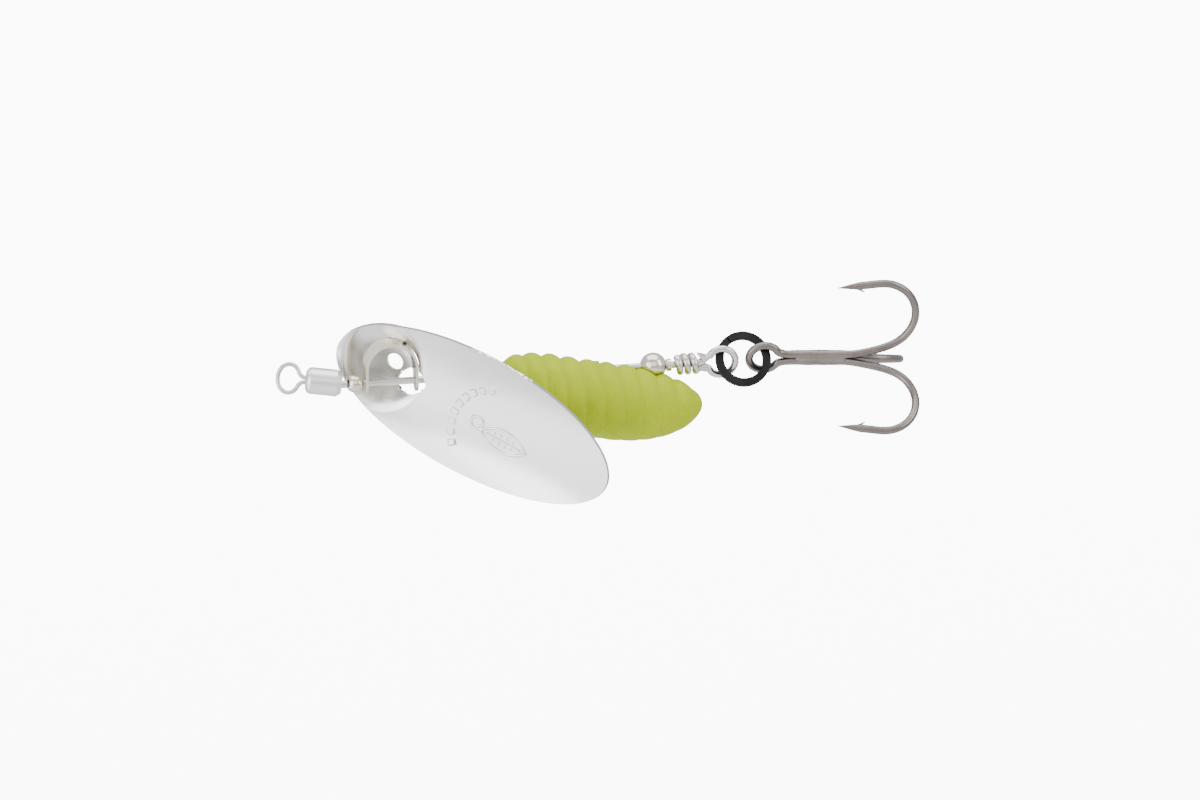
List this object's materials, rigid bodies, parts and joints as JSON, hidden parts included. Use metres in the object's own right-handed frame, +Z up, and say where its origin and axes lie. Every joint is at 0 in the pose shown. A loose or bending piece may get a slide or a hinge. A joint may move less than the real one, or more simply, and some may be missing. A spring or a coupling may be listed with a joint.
{
  "type": "inline spinner",
  "caption": "Fishing lure with a wire eye and barrel swivel, a dished blade that spins on a wire shaft, a ribbed grub body, a split ring and a treble hook.",
  "frame": {"origin": "centre of the line eye at the front of the swivel", "axes": "+X along the shaft from the line eye to the hook; +Z up, away from the keel side of the grub; +Y to the far side"},
  "size_m": [0.0722, 0.0227, 0.0227],
  "materials": {
    "stainless_wire": "polished drawn wire",
    "satin_nickel": "satin nickel plate",
    "warm_nickel": "warm nickel plate",
    "mirror_silver": "silver mirror plate",
    "yellow_grub": "soft fluorescent yellow, satin",
    "brass_tube": "plain brass",
    "lead_slug": "dull cast metal",
    "black_steel": "black nickel plate",
    "hook_bronze": "dark bronze-grey hook plate"
  },
  "bodies": {
    "line_eye": {"line_eye": "stainless_wire"},
    "barrel": {"swivel_barrel": "satin_nickel"},
    "shaft": {"shaft": "stainless_wire", "rear_collar": "warm_nickel"},
    "front_bead": {"front_bead": "warm_nickel"},
    "blade": {"clevis": "warm_nickel", "blade": "mirror_silver"},
    "grub": {"grub_skin": "yellow_grub", "body_liner": "brass_tube", "body_weight": "lead_slug"},
    "rear_bead": {"rear_bead": "warm_nickel"},
    "ring": {"split_ring": "black_steel"},
    "treble": {"treble_pair": "hook_bronze", "treble_third": "hook_bronze"}
  },
  "joints": [
    {"name": "barrel_spin", "type": "hinge", "parent": "line_eye", "child": "barrel", "pos_m": [0, 0, 0], "axis": [0.982, -0.1032, -0.1582], "continuous": true},
    {"name": "shaft_spin", "type": "hinge", "parent": "line_eye", "child": "shaft", "pos_m": [0, -0.00067, -0.00103], "axis": [1, 0, 0], "continuous": true},
    {"name": "front_bead_spin", "type": "hinge", "parent": "shaft", "child": "front_bead", "pos_m": [0, -0.00067, -0.00103], "axis": [1, 0, 0], "continuous": true},
    {"name": "blade_spin", "type": "hinge", "parent": "shaft", "child": "blade", "pos_m": [0, -0.00067, -0.00103], "axis": [1, 0, 0], "continuous": true},
    {"name": "grub_spin", "type": "hinge", "parent": "shaft", "child": "grub", "pos_m": [0, -0.00067, -0.00103], "axis": [1, 0, 0], "continuous": true},
    {"name": "rear_bead_spin", "type": "hinge", "parent": "shaft", "child": "rear_bead", "pos_m": [0, -0.00067, -0.00103], "axis": [1, 0, 0], "continuous": true},
    {"name": "ring_slide_in_loop", "type": "hinge", "parent": "shaft", "child": "ring", "pos_m": [0.05095, -0.00067, -0.00089], "axis": [0, -0.9781, 0.2079], "range_deg": [-60, 60]},
    {"name": "treble_swing", "type": "hinge", "parent": "ring", "child": "treble", "pos_m": [0.05325, -0.00067, -0.00089], "axis": [0, 0.2079, 0.9781], "range_deg": [-25, 25]}
  ]
}
